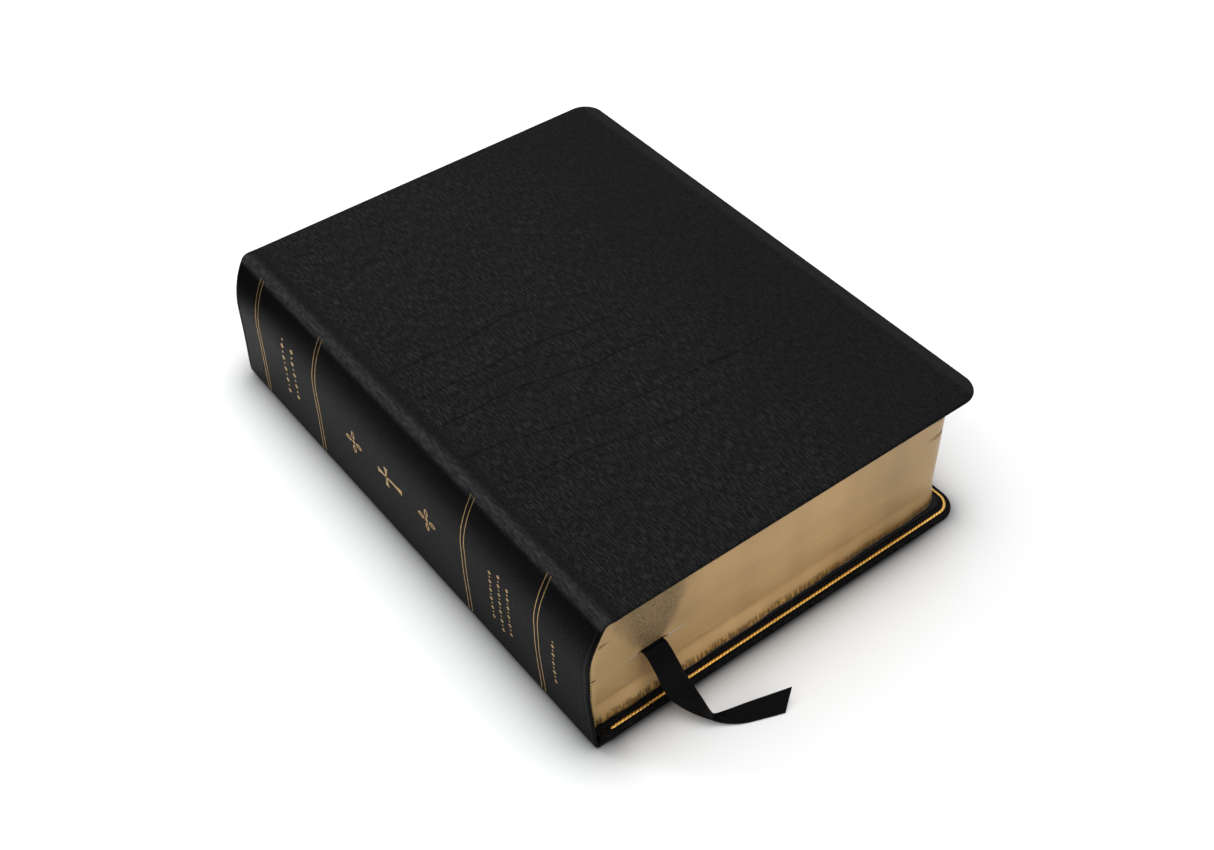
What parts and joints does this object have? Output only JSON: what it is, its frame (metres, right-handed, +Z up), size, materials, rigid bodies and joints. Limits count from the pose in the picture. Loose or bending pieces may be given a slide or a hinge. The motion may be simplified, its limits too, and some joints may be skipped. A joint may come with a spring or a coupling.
{
  "type": "bible",
  "caption": "Thick leather-bound bible lying closed, with gilt edges, ribbon marker, rounded spine, and covers and page halves that turn open on hinges.",
  "frame": {"origin": "centre of the bottom of the whole object's box, ribbon included, on the surface that the book lies on", "axes": "+X from the spine to the fore edge, +Y from the tail to the head, +Z up from the back cover to the front cover"},
  "size_m": [0.187, 0.277, 0.0634],
  "materials": {
    "black_leather": "fine-grained, soft satin",
    "spine_leather": "fine-grained, soft satin",
    "cover_board": "matt leatherboard",
    "cover_lining": "smooth matt lining leather",
    "gold_foil": "bright hot-stamped foil",
    "kraft_paper": "matt",
    "mull_cloth": "open-weave starched cotton",
    "linen_tape": "woven",
    "linen_thread": "waxed thread",
    "headband_silk": "gold and black stitched roll",
    "black_endpaper": "matt",
    "india_paper": "thin printing paper with gilt edge",
    "gilt_pages": "antique gold gilt edges over thin paper",
    "ribbon_satin": "woven satin"
  },
  "bodies": {
    "back_cover": {"back_cover_leather": "black_leather", "back_cover_board": "cover_board", "back_cover_lining": "cover_lining", "back_cover_fillet": "gold_foil"},
    "back_half": {"back_spine_leather": "spine_leather", "back_hollow_tube": "kraft_paper", "back_mull": "mull_cloth", "back_sewing_tapes": "linen_tape", "back_sewing_thread": "linen_thread", "back_headbands": "headband_silk", "back_spine_gilding": "gold_foil", "ribbon_in_pages": "ribbon_satin", "back_gathering_01": "gilt_pages", "back_gathering_02": "gilt_pages", "back_gathering_03": "gilt_pages", "back_gathering_04": "gilt_pages", "back_gathering_05": "gilt_pages", "back_gathering_06": "gilt_pages", "back_gathering_07": "gilt_pages", "back_gathering_08": "gilt_pages", "back_gathering_09": "gilt_pages", "back_gathering_10": "gilt_pages"},
    "front_half": {"front_spine_leather": "spine_leather", "front_hollow_tube": "kraft_paper", "front_mull": "mull_cloth", "front_sewing_tapes": "linen_tape", "front_sewing_thread": "linen_thread", "front_headbands": "headband_silk", "front_spine_gilding": "gold_foil", "front_gathering_01": "gilt_pages", "front_gathering_02": "gilt_pages", "front_gathering_03": "gilt_pages", "front_gathering_04": "gilt_pages", "front_gathering_05": "gilt_pages", "front_gathering_06": "gilt_pages", "front_gathering_07": "gilt_pages", "front_gathering_08": "gilt_pages", "front_gathering_09": "gilt_pages", "front_gathering_10": "gilt_pages", "front_gathering_11": "gilt_pages", "front_gathering_12": "gilt_pages"},
    "front_cover": {"front_cover_leather": "black_leather", "front_cover_board": "cover_board", "front_cover_lining": "cover_lining", "front_cover_fillet": "gold_foil"},
    "front_flyleaf": {"front_flyleaf": "black_endpaper"},
    "title_leaf": {"title_leaf": "india_paper"},
    "middle_leaf": {"middle_leaf": "india_paper"},
    "back_flyleaf": {"back_flyleaf": "black_endpaper"},
    "ribbon_drop": {"ribbon_drop": "ribbon_satin"},
    "ribbon_end": {"ribbon_end": "ribbon_satin"}
  },
  "joints": [
    {"name": "back_cover_hinge", "type": "hinge", "parent": "back_cover", "child": "back_half", "pos_m": [-0.0904, 0, 0.003], "axis": [0, 1, 0], "range_deg": [-90, 0]},
    {"name": "middle_opening", "type": "hinge", "parent": "back_half", "child": "front_half", "pos_m": [-0.0938, 0, 0.0318], "axis": [0, -1, 0], "range_deg": [0, 180]},
    {"name": "front_cover_hinge", "type": "hinge", "parent": "front_half", "child": "front_cover", "pos_m": [-0.0857, 0, 0.0637], "axis": [0, -1, 0], "range_deg": [0, 178]},
    {"name": "ribbon_lift", "type": "hinge", "parent": "back_half", "child": "ribbon_drop", "pos_m": [-0.0603, -0.1028, 0.0287], "axis": [-1, 0, 0], "range_deg": [0, 75]},
    {"name": "ribbon_end_lift", "type": "hinge", "parent": "ribbon_drop", "child": "ribbon_end", "pos_m": [-0.0507, -0.1308, 0.0004], "axis": [-0.342, -0.9397, 0], "range_deg": [0, 60]},
    {"name": "back_flyleaf_turn", "type": "hinge", "parent": "back_cover", "child": "back_flyleaf", "pos_m": [-0.0904, 0, 0.003], "axis": [0, 1, 0], "range_deg": [-4.5, 0]},
    {"name": "middle_leaf_turn", "type": "hinge", "parent": "back_half", "child": "middle_leaf", "pos_m": [-0.0938, 0, 0.0318], "axis": [0, -1, 0], "range_deg": [0, 173.7]},
    {"name": "front_flyleaf_turn", "type": "hinge", "parent": "front_half", "child": "front_flyleaf", "pos_m": [-0.0857, 0, 0.0637], "axis": [0, -1, 0], "range_deg": [0, 170.88]},
    {"name": "title_leaf_turn", "type": "hinge", "parent": "front_half", "child": "title_leaf", "pos_m": [-0.0857, 0, 0.0637], "axis": [0, -1, 0], "range_deg": [0, 163.76]}
  ],
  "couplings": [
    {"joint": "back_flyleaf_turn", "follows": "back_cover_hinge", "ratio": 0.05},
    {"joint": "middle_leaf_turn", "follows": "middle_opening", "ratio": 0.965},
    {"joint": "front_flyleaf_turn", "follows": "front_cover_hinge", "ratio": 0.96},
    {"joint": "title_leaf_turn", "follows": "front_cover_hinge", "ratio": 0.92}
  ]
}
